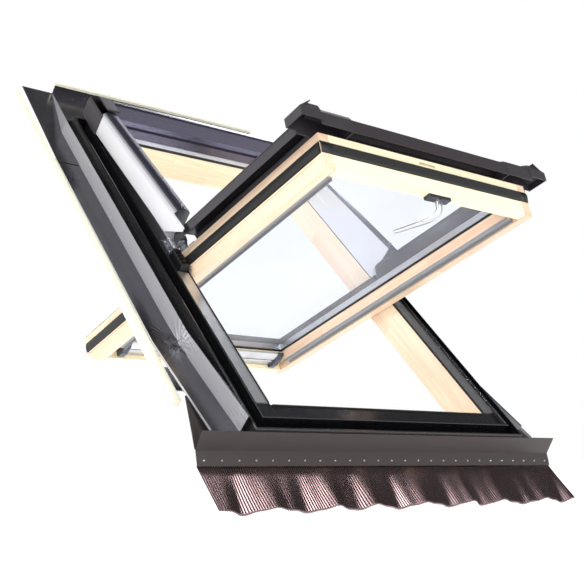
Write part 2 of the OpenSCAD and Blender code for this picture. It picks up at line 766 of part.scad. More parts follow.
// Black weather seals in the grooves round the outside of the sash.
module sash_seals() {
    g = seat / 3;
    x = sash_half + sash_gap - seat;
    s1 = sash_bottom_s;
    color("#0e0e10") opened() {
        for (side = [-1, 1]) on_side(side) along_y(-s1 + 5, -sash_top_s - 5) polygon([
            [sash_half - seal_cut + g, seal_t0 + g], [x - 1, seal_t0 + 3], [x, (seal_t0 + seal_t1) / 2],
            [x - 1, seal_t1 - 3], [sash_half - seal_cut + g, seal_t1 - g]
        ]);
        rail_along_x(-sash_half + 25, sash_half - 25, [
            [s1 - seal_cut + g, seal_t0 + g], [s1 + 3, seal_t0 + 4], [s1 + 6, seal_t1 - 6],
            [s1 - seal_cut + g, seal_t1 - g]
        ]);
        rail_along_x(-sash_half + 25, sash_half - 25, [
            [sash_top_s + seal_cut - g, seal_t0 + g], [sash_top_s - 1, seal_t0 + 4],
            [sash_top_s - 3, seal_t1 - 6], [sash_top_s + seal_cut - g, seal_t1 - g]
        ]);
    }
}

// ---------- covers on the lower half of the sash ----------

// Foot of a cover on the glass, and the wall beside the rebate.
foot_path_t = glass_top_t + seat + cover_t;
wall_gap = cover_lip + cover_t;
side_cover_path = concat(
    [[skirt_x, skirt_t]],
    arc([skirt_x - 12, cover_top_t - 12], 12, 0, 90, 6),
    [[stile_rebate + 4, cover_top_t], [stile_rebate - wall_gap, cover_top_t - 10],
     [stile_rebate - wall_gap, foot_path_t], [stile_rebate - 12, foot_path_t]]
);

module side_cover(side) {
    color(side < 0 ? "gray" : "#3d3b42") opened() on_side(side)
        along_y(-cover_s1, -cover_s0) sheet(side_cover_path, cover_t);
}

module bottom_cover() {
    r = 5;
    path = st(concat(
        [[rail_rebate_s - 12, foot_path_t], [rail_rebate_s - wall_gap, foot_path_t],
         [rail_rebate_s - wall_gap, cover_top_t - 10], [rail_rebate_s + 4, cover_top_t]],
        arc([front_s - r, cover_top_t - r], r, 90, 0, 5),
        [[front_s, skirt_t]]
    ));
    color("#3b3436") opened() along_x(-cap_in_x + seat, cap_in_x - seat)
        sheet(path, cover_t);
}

// Moulded corner cap that closes a side cover and the bottom cover, with a raised outer lobe.
cap_s0 = cover_s1 + seat;
cap_top = cover_top_t + 17;
cap_x = skirt_x + 22;
cap_inner = [
    [cap_s0, skirt_t], [front_s + 1, skirt_t], [front_s + 1, 3], [front_s - 4, cap_top - 12],
    [front_s - 18, cap_top - 5], [cap_s0, cap_top - 5]
];
cap_outer = [
    [cap_s0, skirt_t + 8], [front_s + 4, skirt_t + 8], [front_s + 4, 4], [front_s - 1, cap_top - 7],
    [front_s - 15, cap_top], [cap_s0, cap_top]
];

module cover_cap(side) {
    lobe = skirt_x - 26;
    wall = 2;
    color("#45424a") opened() on_side(side) {
        difference() {
            union() {
                rail_along_x(cap_in_x, lobe, cap_inner);
                rail_along_x(lobe - 1, cap_x, cap_outer);
            }
            rail_along_x(cap_in_x + wall, skirt_x, [
                [cap_s0 + wall, -90], [front_s + 1 - wall, -90], [front_s + 1 - wall, 3],
                [front_s - 6, cap_top - 14], [front_s - 19, cap_top - 5 - wall],
                [cap_s0 + wall, cap_top - 5 - wall]
            ]);
            rail_along_x(lobe + wall, cap_x - wall, [
                [cap_s0 + wall, -90], [front_s + 4 - wall, -90], [front_s + 4 - wall, 4],
                [front_s - 3, cap_top - 9], [front_s - 16, cap_top - wall],
                [cap_s0 + wall, cap_top - wall]
            ]);
            // Slanted outer top edge of the lobe
            along_y(-half_w * 2, 0) polygon([
                [cap_x + 1, cover_top_t - 4], [cap_x + 1, 60], [cap_x - 30, 60],
                [cap_x - 30, cap_top + 0.5]
            ]);
        }
        // Sloping outer skin, and the rear wall down to the glass and the stile
        along_y(-front_s - 2, -cap_s0 - 1) polygon([
            [cap_x, cover_top_t - 8], [cap_x, cover_top_t - 3], [cap_x - 30, cap_top + 0.2],
            [cap_x - 30, cap_top - wall], [cap_x - wall, cover_top_t - 8]
        ]);
        rail_along_x(cap_in_x, stile_rebate - seat, [
            [cap_s0, glass_top_t + seat], [cap_s0 + wall, glass_top_t + seat],
            [cap_s0 + wall, cap_top - 6], [cap_s0, cap_top - 6]
        ]);
        rail_along_x(stile_rebate - seat - 1, skirt_x, [
            [cap_s0, sash_wood_t + 2.5], [cap_s0 + wall, sash_wood_t + 2.5],
            [cap_s0 + wall, cap_top - 6], [cap_s0, cap_top - 6]
        ]);
    }
}

// ---------- ventilation bar at the head of the sash ----------

vent_back_t = glass_seat_t - 8;
vent_s0 = sash_top_s + 66;
vent_s1 = head_in_s + 10;
vent_mid = vent_s0 + 30;
vent_x = stile_in - 4;
vent_cap_w = 16;
flap_pin_r = 2;
flap_s = vent_mid - 6;
flap_t = -sash_d + 17;

// Fixed slat under the glass, rolled along its lower edge.
module vent_bar() {
    x = vent_x - vent_cap_w - seat;
    color("silver") opened() rail_along_x(-x, x, [
        [vent_mid + 1, vent_back_t - seat / 3], [vent_s1, vent_back_t - seat / 3],
        [vent_s1, vent_back_t - 4], [vent_s1 - 6, vent_back_t - 9], [vent_s1 - 14, vent_back_t - 12],
        [vent_mid + 6, vent_back_t - 14], [vent_mid + 1, vent_back_t - 12]
    ]);
}

// Tilting slat that opens the ventilation slot.
module vent_flap() {
    x = vent_x - vent_cap_w - seat;
    color("lightgray") opened() {
        rail_along_x(-x, x, [
            [vent_s0 + 1, flap_t - 5], [vent_mid - 4, flap_t - 6], [vent_mid - 1, flap_t - 3],
            [vent_mid - 1, flap_t + 2], [flap_s - 4, flap_t + 3], [vent_s0 + 1, flap_t - 2]
        ]);
        translate([-x - 6, -flap_s, flap_t - 1.5]) rotate([0, 90, 0])
            cylinder(h = 2 * x + 12, r = flap_pin_r);
    }
}

// End cap of the ventilation bar, with the bearing of the slat.
module vent_cap(side) {
    x0 = vent_x - vent_cap_w;
    color("#3b3f4e") opened() on_side(side) difference() {
        rail_along_x(x0, vent_x, [
            [vent_s0, vent_back_t - seat / 3], [vent_s1 + 3, vent_back_t - seat / 3],
            [vent_s1 + 3, vent_back_t - 5], [vent_s1 - 12, vent_back_t - 16],
            [vent_mid - 8, -sash_d + 3], [vent_s0 + 4, -sash_d + 3], [vent_s0, -sash_d + 7]
        ]);
        translate([x0 - 1, -flap_s, flap_t - 1.5]) rotate([0, 90, 0])
            cylinder(h = 8, r = flap_pin_r + pin_gap);
    }
}

// ---------- handle and lock ----------

handle_s = sash_bottom_s - rail_lip / 2;
cam_t = glass_top_t + 4;
cam_h = 4;
cam_len = 34;
cam_w = 9;
cam_turn = 90 - grip_turn;
slot_gap = 0.5;

// Bore for the spindle and slot for the cam in the bottom rail.
module handle_bores() {
    translate([handle_x, -handle_s, -sash_d - 1])
        cylinder(h = cam_t + sash_d + 2, r = spindle_r + pin_gap);
    block([handle_x - cam_len - 4, -sash_bottom_s - 1, cam_t - slot_gap],
          [handle_x + spindle_r + 3, -handle_s + spindle_r + 1, cam_t + cam_h + slot_gap]);
}

module handle_base() {
    color("#3a3a44") opened() difference() {
        union() {
            block([handle_x - base_w / 2, -handle_s - base_h / 2, -sash_d - base_d],
                  [handle_x + base_w / 2, -handle_s + base_h / 2, -sash_d - seat / 3]);
            translate([handle_x, -handle_s, -sash_d - base_d - 3]) cylinder(h = 4, r = 7.6);
        }
        translate([handle_x, -handle_s, -sash_d - base_d - 4])
            cylinder(h = base_d + 6, r = spindle_r + pin_gap);
    }
}

// Spindle, curved neck and straight grip in one piece.
module handle_lever() {
    z0 = -sash_d - base_d - 3 - seat;
    color("silver") opened() translate([handle_x, -handle_s, 0]) {
        translate([0, 0, z0 - 1]) cylinder(h = cam_t - seat / 3 - z0 + 1, r = spindle_r);
        translate([0, 0, z0 - 12]) cylinder(h = 12, r = lever_r + 1.6);
        rotate([0, 0, grip_turn]) translate([0, 0, z0]) {
            along_x(-lever_r, lever_r) polygon([
                [-6, -8], [0, -20], [8, -30], [18, -neck_l - 4], [grip_len, -neck_l - 5],
                [grip_len + 3, -neck_l - 1], [grip_len, -neck_l + 3], [22, -neck_l + 5],
                [12, -20], [7, -8]
            ]);
        }
    }
}

// Cam on the end of the spindle, which swings out of the rail into the striker.
module lock_cam() {
    color("gainsboro") opened() translate([handle_x, -handle_s, cam_t]) {
        cylinder(h = cam_h, r = spindle_r);
        block([-cam_len + cam_w / 2, -cam_w / 2, 0], [0, cam_w / 2, cam_h]);
        translate([-cam_len + cam_w / 2, 0, 0]) cylinder(h = cam_h, r = cam_w / 2);
    }
}

// Striker plate let into the inner face of the bottom frame member.
module striker_window(x_gap, z_gap, depth) {
    z = pivot_z + cam_t;
    block([handle_x - cam_len - x_gap, y_in0 - depth, z - z_gap],
          [handle_x + x_gap, y_in0 + 4, z + cam_h + z_gap]);
}

module striker() {
    z = pivot_z + cam_t + cam_h / 2;
    color("silver") installed() difference() {
        block([handle_x - cam_len - 14, y_in0 + seat / 3, z - 8],
              [handle_x + 14, y_in0 + 1.8, z + 8]);
        striker_window(2, 1.5, 1);
    }
}

// ---------- assembly ----------

frame_side(-1);  // frame_left
frame_side(1);  // frame_right
frame_bottom_rail();  // frame_bottom
frame_top_rail();  // frame_top
profile_side(-1);  // profile_left
profile_side(1);  // profile_right
profile_end(y_in0, bottom_w, -1);  // profile_bottom
profile_end(y_in1, top_w, 1);  // profile_top
rebate_strip(-1);  // rebate_strip_left
rebate_strip(1);  // rebate_strip_right
rebate_strip_head();  // rebate_strip_top
frame_seals();
upper_cover(-1);  // upper_cover_left
upper_cover(1);  // upper_cover_right
head_cover();
head_cap(-1);  // head_cap_left
head_cap(1);  // head_cap_right
cover_screws();
side_flashing(-1);  // flashing_left
side_flashing(1);  // flashing_right
head_flashing();
sill_flashing();
apron();
apron_rivets();
side_foam(-1);  // side_foam_left
side_foam(1);  // side_foam_right
head_foam();
mounting_brackets();
bracket_screws();
hinge_plate(-1);  // hinge_plate_left
hinge_plate(1);  // hinge_plate_right
hinge_housing(-1);  // hinge_housing_left
hinge_housing(1);  // hinge_housing_right
striker();
sash_stile(-1);  // sash_left
sash_stile(1);  // sash_right
sash_bottom_rail();  // sash_bottom
sash_head_rail();  // sash_top
blind_channel(-1);  // blind_channel_left
blind_channel(1);  // blind_channel_right
color("lightblue", 0.4) opened() pane(pane_out_t);  // outer_pane
color("lightblue", 0.4) opened() pane(pane_in_t);  // inner_pane
pane_spacer();
glazing_gaskets();
glazing_beads();
sash_seals();
side_cover(-1);  // side_cover_left
side_cover(1);  // side_cover_right
bottom_cover();
cover_cap(-1);  // cover_cap_left
cover_cap(1);  // cover_cap_right
vent_bar();
vent_flap();
vent_cap(-1);  // vent_cap_left
vent_cap(1);  // vent_cap_right
hinge_arm(-1);  // hinge_arm_left
hinge_arm(1);  // hinge_arm_right
handle_base();
handle_lever();
lock_cam();
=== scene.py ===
"""Finished looks of the centre-pivot roof window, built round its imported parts."""

import logging
import math
from dataclasses import dataclass
from enum import Enum
from typing import Sequence

import bpy
from mathutils import Matrix, Vector


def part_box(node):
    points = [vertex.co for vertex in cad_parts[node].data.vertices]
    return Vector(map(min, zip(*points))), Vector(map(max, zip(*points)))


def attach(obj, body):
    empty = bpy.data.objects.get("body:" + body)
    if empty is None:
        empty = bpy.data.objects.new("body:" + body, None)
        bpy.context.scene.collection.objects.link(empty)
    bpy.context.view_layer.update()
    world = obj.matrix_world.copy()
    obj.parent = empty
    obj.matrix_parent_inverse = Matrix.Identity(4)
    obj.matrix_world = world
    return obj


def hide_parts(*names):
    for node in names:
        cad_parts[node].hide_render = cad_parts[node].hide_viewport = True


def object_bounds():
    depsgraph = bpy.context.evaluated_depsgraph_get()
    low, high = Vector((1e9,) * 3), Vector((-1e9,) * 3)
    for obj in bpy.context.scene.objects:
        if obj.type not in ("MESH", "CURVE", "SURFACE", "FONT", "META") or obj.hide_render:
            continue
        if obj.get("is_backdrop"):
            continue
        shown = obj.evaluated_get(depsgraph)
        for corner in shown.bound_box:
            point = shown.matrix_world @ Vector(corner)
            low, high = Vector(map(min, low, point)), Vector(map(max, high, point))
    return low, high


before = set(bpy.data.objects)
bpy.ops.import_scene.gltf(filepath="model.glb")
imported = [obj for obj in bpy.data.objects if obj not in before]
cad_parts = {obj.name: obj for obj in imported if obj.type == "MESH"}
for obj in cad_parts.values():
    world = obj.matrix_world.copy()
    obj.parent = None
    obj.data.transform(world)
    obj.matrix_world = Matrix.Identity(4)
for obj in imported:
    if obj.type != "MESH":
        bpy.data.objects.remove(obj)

logging.basicConfig(level=logging.INFO, format="%(levelname)s %(message)s")
LOG = logging.getLogger("roof_window")
MM = 0.001
SLOPE = math.radians(45.0)
OPEN = math.radians(62.0)
PIVOT = Vector((0.0, 0.547, 0.105))


class Body(str, Enum):
    """Moving bodies of the window."""

    FRAME = "frame"
    SASH = "sash"
    HANDLE = "handle"
    FLAP = "flap"


class Along(Enum):
    """Direction that a texture's long axis follows, as a turn about X."""

    ACROSS = "across"
    ROOF = "roof"
    SASH = "sash"


def roof(x: float, y: float, z: float) -> Vector:
    """Turns a place on the roof's slope into the shared frame.

    Args:
        x: Across the window, in millimetres.
        y: Up the slope from the bottom member's middle, in millimetres.
        z: Out of the roof from the frame's room side, in millimetres.

    Returns:
        The place in metres.
    """
    return Matrix.Rotation(SLOPE, 3, "X") @ (Vector((x, y, z)) * MM)


def sash(x: float, s: float, t: float) -> Vector:
    """Turns a place in the open sash into the shared frame.

    Args:
        x: Across the window, in millimetres.
        s: From the pivot towards the handle, in millimetres.
        t: Outwards from the pivot axis, in millimetres.

    Returns:
        The place in metres.
    """
    turned = Matrix.Rotation(-OPEN, 3, "X") @ (Vector((x, -s, t)) * MM)
    return Matrix.Rotation(SLOPE, 3, "X") @ (turned + PIVOT)


class Value:
    """A shader value that can be used in sums, products and comparisons."""

    def __init__(self, graph: "Graph", socket: bpy.types.NodeSocket) -> None:
        """Wraps a socket.

        Args:
            graph: The graph that the socket belongs to.
            socket: The output socket.
        """
        self.graph = graph
        self.socket = socket

    def _do(self, operation: str, *values: "Value | float") -> "Value":
        """Adds a Math node.

        Args:
            operation: The node's operation.
            values: Its inputs in order.

        Returns:
            The wrapped result.
        """
        node = self.graph.add("ShaderNodeMath", {"operation": operation},
                              dict(enumerate(values)))
        return Value(self.graph, node.outputs[0])

    def __add__(self, other: "Value | float") -> "Value":
        """Adds."""
        return self._do("ADD", self, other)

    def __radd__(self, other: float) -> "Value":
        """Adds to a number."""
        return self._do("ADD", other, self)

    def __sub__(self, other: "Value | float") -> "Value":
        """Subtracts."""
        return self._do("SUBTRACT", self, other)

    def __rsub__(self, other: float) -> "Value":
        """Subtracts from a number."""
        return self._do("SUBTRACT", other, self)

    def __mul__(self, other: "Value | float") -> "Value":
        """Multiplies."""
        return self._do("MULTIPLY", self, other)

    def __rmul__(self, other: float) -> "Value":
        """Multiplies a number."""
        return self._do("MULTIPLY", other, self)

    def __truediv__(self, other: "Value | float") -> "Value":
        """Divides."""
        return self._do("DIVIDE", self, other)

    def __rtruediv__(self, other: float) -> "Value":
        """Divides a number."""
        return self._do("DIVIDE", other, self)

    def __pow__(self, other: float) -> "Value":
        """Raises to a power."""
        return self._do("POWER", self, other)

    def __abs__(self) -> "Value":
        """Takes the size without the sign."""
        return self._do("ABSOLUTE", self)

    def floor(self) -> "Value":
        """Returns: the whole number below."""
        return self._do("FLOOR", self)

    def fraction(self) -> "Value":
        """Returns: the part after the decimal point."""
        return self._do("FRACT", self)

    def sine(self) -> "Value":
        """Returns: the sine."""
        return self._do("SINE", self)

    def smooth(self, low: float, high: float) -> "Value":
        """Eases from 0 at low to 1 at high.

        Args:
            low: Where the result is 0.
            high: Where the result is 1.

        Returns:
            The eased value.
        """
        node = self.graph.add("ShaderNodeMapRange", {"interpolation_type": "SMOOTHSTEP"},
                              {"Value": self, "From Min": low, "From Max": high})
        return Value(self.graph, node.outputs[0])


Colour = tuple[float, float, float]


def linear(code: str) -> Colour:
    """Turns a display colour code into linear values.

    Args:
        code: Six hexadecimal digits.

    Returns:
        Linear red, green and blue.
    """
    parts = [int(code[i:i + 2], 16) / 255 for i in (0, 2, 4)]
    return tuple(c / 12.92 if c < 0.04045 else ((c + 0.055) / 1.055) ** 2.4 for c in parts)


class Graph:
    """The node graph of one material."""

    def __init__(self, name: str) -> None:
        """Starts an empty material.

        Args:
            name: The material's name.
        """
        self.material = bpy.data.materials.new(name)
        self.material.use_nodes = True
        self.tree = self.material.node_tree
        self.tree.nodes.clear()
        self.output = self.add("ShaderNodeOutputMaterial")

    def add(self, kind: str, settings: dict | None = None, values: dict | None = None) -> bpy.types.Node:
        """Adds a node of any kind.

        Args:
            kind: The node's type name.
            settings: Attributes to set on the node.
            values: Numbers, colours or links for its inputs, by name or position.

        Returns:
            The node.
        """
        node = self.tree.nodes.new(kind)
        for key, value in (settings or {}).items():
            setattr(node, key, value)
        for key, value in (values or {}).items():
            socket = node.inputs[key]
            if isinstance(value, Value):
                self.tree.links.new(value.socket, socket)
            elif isinstance(value, tuple) and len(value) == 3 and socket.type == "RGBA":
                socket.default_value = (*value, 1.0)
            else:
                socket.default_value = value
        return node

    def value(self, kind: str, output: str | int, settings: dict | None = None,
              values: dict | None = None) -> Value:
        """Adds a node and wraps one of its outputs.

        Args:
            kind: The node's type name.
            output: Name or position of the output.
            settings: Attributes to set on the node.
            values: Inputs, by name or position.

        Returns:
            The wrapped output.
        """
        return Value(self, self.add(kind, settings, values).outputs[output])

    def place(self, along: Along) -> Value:
        """Coordinates in metres whose Y runs along the piece.

        Args:
            along: Which way the piece runs.

        Returns:
            A vector that moves with the piece.
        """
        turns = {Along.ROOF: (-SLOPE, 0.0, 0.0), Along.SASH: (OPEN - SLOPE, 0.0, 0.0),
                 Along.ACROSS: (-SLOPE, 0.0, math.pi / 2)}
        here = self.value("ShaderNodeTexCoord", "Object")
        return self.value("ShaderNodeMapping", 0, None, {"Vector": here, "Rotation": turns[along]})

    def scaled(self, vector: Value, x: float, y: float, z: float) -> Value:
        """Scales a vector.

        Args:
            vector: The vector.
            x: Factor along X.
            y: Factor along Y.
            z: Factor along Z.

        Returns:
            The scaled vector.
        """
        return self.value("ShaderNodeVectorMath", 0, {"operation": "MULTIPLY"},
                          {0: vector, 1: (x, y, z)})

    def noise(self, vector: Value, scale: float, detail: float = 3.0, rough: float = 0.5,
              warp: float = 0.0) -> Value:
        """Cloudy noise from 0 to 1.

        Args:
            vector: Where to sample it.
            scale: Features a metre.
            detail: Octaves.
            rough: Strength of the finer octaves.
            warp: Distortion.

        Returns:
            The noise.
        """
        return self.value("ShaderNodeTexNoise", 0, None, {
            "Vector": vector, "Scale": scale, "Detail": detail, "Roughness": rough,
            "Distortion": warp})

    def parts(self, vector: Value) -> tuple[Value, Value, Value]:
        """Splits a vector.

        Args:
            vector: The vector.

        Returns:
            Its X, Y and Z.
        """
        node = self.add("ShaderNodeSeparateXYZ", None, {0: vector})
        return tuple(Value(self, node.outputs[i]) for i in range(3))

    def joined(self, x: Value | float, y: Value | float, z: Value | float) -> Value:
        """Joins three numbers into a vector.

        Args:
            x: First part.
            y: Second part.
            z: Third part.

        Returns:
            The vector.
        """
        return self.value("ShaderNodeCombineXYZ", 0, None, {0: x, 1: y, 2: z})

    def random(self, vector: Value) -> Value:
        """A number from 0 to 1 that is the same wherever the vector is.

        Args:
            vector: The seed.

        Returns:
            The number.
        """
        return self.value("ShaderNodeTexWhiteNoise", 0, {"noise_dimensions": "3D"}, {"Vector": vector})

    def mix(self, factor: Value | float, low: "Value | Colour", high: "Value | Colour") -> Value:
        """Blends two colours.

        Args:
            factor: 0 gives low, 1 gives high.
            low: First colour.
            high: Second colour.

        Returns:
            The blended colour.
        """
        return self.value("ShaderNodeMix", 2, {"data_type": "RGBA", "clamp_factor": True},
                          {0: factor, 6: low, 7: high})

    def bump(self, height: Value, strength: float, distance: float) -> Value:
        """Turns a height into a surface normal.

        Args:
            height: The height, from 0 to 1.
            strength: Strength from 0 to 1.
            distance: Depth in metres.

        Returns:
            The normal.
        """
        return self.value("ShaderNodeBump", 0, None,
                          {"Height": height, "Strength": strength, "Distance": distance})

    def surface(self, values: dict) -> Value:
        """Adds the main shader.

        Args:
            values: Its inputs.

        Returns:
            The shader.
        """
        return self.value("ShaderNodeBsdfPrincipled", 0, None, values)

    def finish(self, shader: Value) -> bpy.types.Material:
        """Links the shader to the output.

        Args:
            shader: The shader.

        Returns:
            The material.
        """
        self.tree.links.new(shader.socket, self.output.inputs["Surface"])
        return self.material


MADE: dict[str, bpy.types.Material] = {}


@dataclass(frozen=True)
class Finish:
    """A finish that can be put on pieces."""

    name: str
    colour: str
    along: Along = Along.ROOF

    def shader(self, g: Graph) -> Value:
        """Builds the shader.

        Args:
            g: The graph to build it in.

        Returns:
            The shader.
        """
        return g.surface({"Base Color": linear(self.colour)})

    def material(self) -> bpy.types.Material:
        """Builds the material once.

        Returns:
            The material.
        """
        if self.name not in MADE:
            g = Graph(self.name)
            MADE[self.name] = g.finish(self.shader(g))
            LOG.info("finish %s: %d shader nodes", self.name, len(g.tree.nodes))
        return MADE[self.name]


@dataclass(frozen=True)
class Pine(Finish):
    """Clear lacquered pine, glued up from finger-jointed lamellas."""

    warm: str = "DDAF8C"
    dark: str = "B98A58"
    lamella: float = 0.024
    length: float = 0.42
    seed: float = 0.0

    def shader(self, g: Graph) -> Value:
        """Builds the shader.

        Args:
            g: The graph to build it in.

        Returns:
            The shader.
        """
        here = g.place(self.along)
        x, y, z = g.parts(here)
        row = (z / self.lamella + x / (self.lamella * 2.1) + self.seed).floor()
        shift = g.random(g.joined(row, self.seed, 3.0))
        run = y / self.length + shift * 3.0
        board = g.random(g.joined(row, run.floor(), self.seed))
        tone = g.random(g.joined(run.floor(), row, self.seed + 7.0))
        grown = g.joined(x * 46.0 + board * 9.0, y * 1.7 + board * 5.0, z * 46.0)
        rings = g.noise(grown, 1.6, 4.0, 0.55, 0.8)
        stripe = ((rings * 26.0).sine() * 0.5 + 0.5) ** 1.6
        fibre = g.noise(g.scaled(here, 900.0, 16.0, 900.0), 1.0, 3.0, 0.6)
        cloud = g.noise(g.scaled(here, 5.0, 2.0, 5.0), 2.0, 2.0)
        base = g.mix(tone.smooth(0.45, 0.95) * 0.62 + cloud * 0.12, linear(self.colour), linear(self.warm))
        base = g.mix(stripe * 0.20 + fibre * 0.07, base, linear(self.dark))
        joint = abs(run.fraction() - 0.5).smooth(0.4965, 0.4995) * 0.35
        base = g.mix(joint, base, linear(self.dark))
        rough = 0.34 + fibre * 0.12 + stripe * 0.05
        return g.surface({
            "Base Color": base, "Roughness": rough, "Coat Weight": 0.25, "Coat Roughness": 0.22,
            "Normal": g.bump(fibre * 0.5 + stripe * 0.4 - joint, 0.16, 0.0006)})


@dataclass(frozen=True)
class Coated(Finish):
    """Lacquered or powder-coated sheet metal, or moulded plastic.

    Where a side colour is given, faces that look left or right take it as painted light, a lighter lit side
    wall, and shine less.
    """

    # Colour of faces that look left or right: painted light, standing in for a lit side wall.
    side: str = ""
    rough: float = 0.38
    metal: float = 0.0
    grain: float = 900.0
    depth: float = 0.12
    wear: float = 0.10
    shine: str = "7A7A80"
    coat: float = 0.0

    def shader(self, g: Graph) -> Value:
        """Builds the shader.

        Args:
            g: The graph to build it in.

        Returns:
            The shader.
        """
        here = g.place(self.along)
        speck = g.noise(here, self.grain, 2.0, 0.6)
        cloud = g.noise(here, 7.0, 4.0, 0.55)
        streak = g.noise(g.scaled(here, 160.0, 6.0, 160.0), 1.0, 3.0, 0.5)
        base = g.mix(cloud * self.wear + speck.smooth(0.62, 0.8) * self.wear * 0.6,
                     linear(self.colour), linear(self.shine))
        metal: Value | float = self.metal
        if self.side:
            # Painted light: faces that look left or right take the lighter side colour, as if lit from the
            # side.
            painted_lit_faces = abs(g.parts(g.value("ShaderNodeNewGeometry", "Normal"))[0]).smooth(0.55, 0.95)
            base = g.mix(painted_lit_faces, base, linear(self.side))
            metal = self.metal - painted_lit_faces * 0.62 * self.metal
        rough = self.rough + (cloud - 0.5) * 0.16 + (streak - 0.5) * 0.10
        return g.surface({
            "Base Color": base, "Roughness": rough, "Metallic": metal,
            "Coat Weight": self.coat, "Coat Roughness": 0.12,
            "Normal": g.bump(speck + streak * 0.3, self.depth, 0.0003)})


@dataclass(frozen=True)
class Satin(Finish):
    """Bare or anodised metal with fine drawing lines."""

    rough: float = 0.26
    fine: float = 1400.0
    dull: str = "6E7074"

    def shader(self, g: Graph) -> Value:
        """Builds the shader.

        Args:
            g: The graph to build it in.

        Returns:
            The shader.
        """
        here = g.place(self.along)
        lines = g.noise(g.scaled(here, self.fine, 9.0, self.fine), 1.0, 3.0, 0.6)
        cloud = g.noise(here, 18.0, 3.0, 0.6)
        base = g.mix(cloud.smooth(0.42, 0.85) * 0.35 + lines * 0.10, linear(self.colour), linear(self.dull))
        rough = self.rough + lines * 0.14 + (cloud - 0.5) * 0.08
        return g.surface({"Base Color": base, "Metallic": 1.0, "Roughness": rough,
                          "Normal": g.bump(lines, 0.10, 0.0003)})


@dataclass(frozen=True)
class Zinc(Finish):
    """Zinc-plated steel with spangles."""

    def shader(self, g: Graph) -> Value:
        """Builds the shader.

        Args:
            g: The graph to build it in.

        Returns:
            The shader.
        """
        here = g.place(self.along)
        cell = g.value("ShaderNodeTexVoronoi", "Color", None, {"Vector": here, "Scale": 420.0})
        tint = g.parts(cell)[0]
        fog = g.noise(here, 120.0, 4.0)
        base = g.mix(tint * 0.3 + fog * 0.3, linear(self.colour), linear("8F949B"))
        return g.surface({"Base Color": base, "Metallic": 1.0, "Roughness": 0.22 + tint * 0.18,
                          "Normal": g.bump(fog, 0.15, 0.0004)})


@dataclass(frozen=True)
class Pane(Finish):
    """Clear float glass with a faint sheen."""

    haze: float = 0.05

    def shader(self, g: Graph) -> Value:
        """Builds the shader.

        Args:
            g: The graph to build it in.

        Returns:
            The shader.
        """
        here = g.place(self.along)
        ripple = g.noise(here, 3.0, 1.0)
        smear = g.noise(g.scaled(here, 3.0, 1.2, 3.0), 1.6, 3.0, 0.5)
        clear = g.value("ShaderNodeBsdfTransparent", 0, None, {"Color": linear("FCFDFF")})
        gloss = g.surface({"Base Color": linear(self.colour), "Roughness": 0.04 + smear * 0.03,
                           "Specular IOR Level": 0.9, "Normal": g.bump(ripple, 0.01, 0.0002)})
        facing = g.value("ShaderNodeLayerWeight", "Facing", None, {"Blend": 0.5})
        amount = (facing ** 4.0) * 0.25 + smear.smooth(0.35, 0.8) * self.haze + 0.008
        return g.value("ShaderNodeMixShader", 0, None, {0: amount, 1: clear, 2: gloss})


@dataclass(frozen=True)
class Floor(Finish):
    """Plain white studio floor that glows a little, so that it runs into the surround."""

    def shader(self, g: Graph) -> Value:
        """Builds the shader.

        Args:
            g: The graph to build it in.

        Returns:
            The shader.
        """
        speck = g.noise(g.place(self.along), 400.0, 2.0)
        return g.surface({"Base Color": linear(self.colour), "Roughness": 0.85 + speck * 0.05,
                          "Emission Color": linear("FFFFFF"), "Emission Strength": 0.8})


@dataclass(frozen=True)
class Foam(Finish):
    """Open-cell foam."""

    def shader(self, g: Graph) -> Value:
        """Builds the shader.

        Args:
            g: The graph to build it in.

        Returns:
            The shader.
        """
        here = g.place(self.along)
        cell = g.value("ShaderNodeTexVoronoi", "Distance", None, {"Vector": here, "Scale": 700.0})
        cloud = g.noise(here, 30.0, 3.0)
        base = g.mix(cell * 0.5 + cloud * 0.2, linear(self.colour), linear("B9B39A"))
        return g.surface({"Base Color": base, "Roughness": 0.9, "Normal": g.bump(cell, 0.5, 0.0008)})


PINE_ROOF = Pine("pine_frame_sides", "E6D4BA", warm="DDBEA6", seed=2.0)
PINE_ACROSS = Pine("pine_frame_rails", "EEE0BE", Along.ACROSS, warm="E4CBA8", seed=5.0)
PINE_STILE = Pine("pine_sash_stiles", "DFCBB0", Along.SASH, warm="D8B49C", seed=9.0)
PINE_RAIL = Pine("pine_sash_rails", "EFE6C8", Along.ACROSS, warm="F0E0BC", dark="D2B27E", seed=12.0)
BLACK = Coated("black_profile", "09090B", rough=0.24, shine="2C2C33", coat=0.4)
COVER = Coated("anthracite_cover", "2A2528", rough=0.42, shine="4A4248")
COVER_SIDE = Coated("grey_cover_side", "4E4C50", rough=0.34, metal=0.9, depth=0.06, shine="6A686C")
# The side colour here is painted light: a lighter lit colour on the covers' left and right faces.
UPPER = Coated("upper_cover_skin", "6E6B7C", rough=0.24, metal=0.95, depth=0.05, shine="8A8896",
               side="D0D0D4")
MOULDED = Coated("moulded_cap", "2B282C", rough=0.46, grain=1500.0, depth=0.2, shine="4B464C")
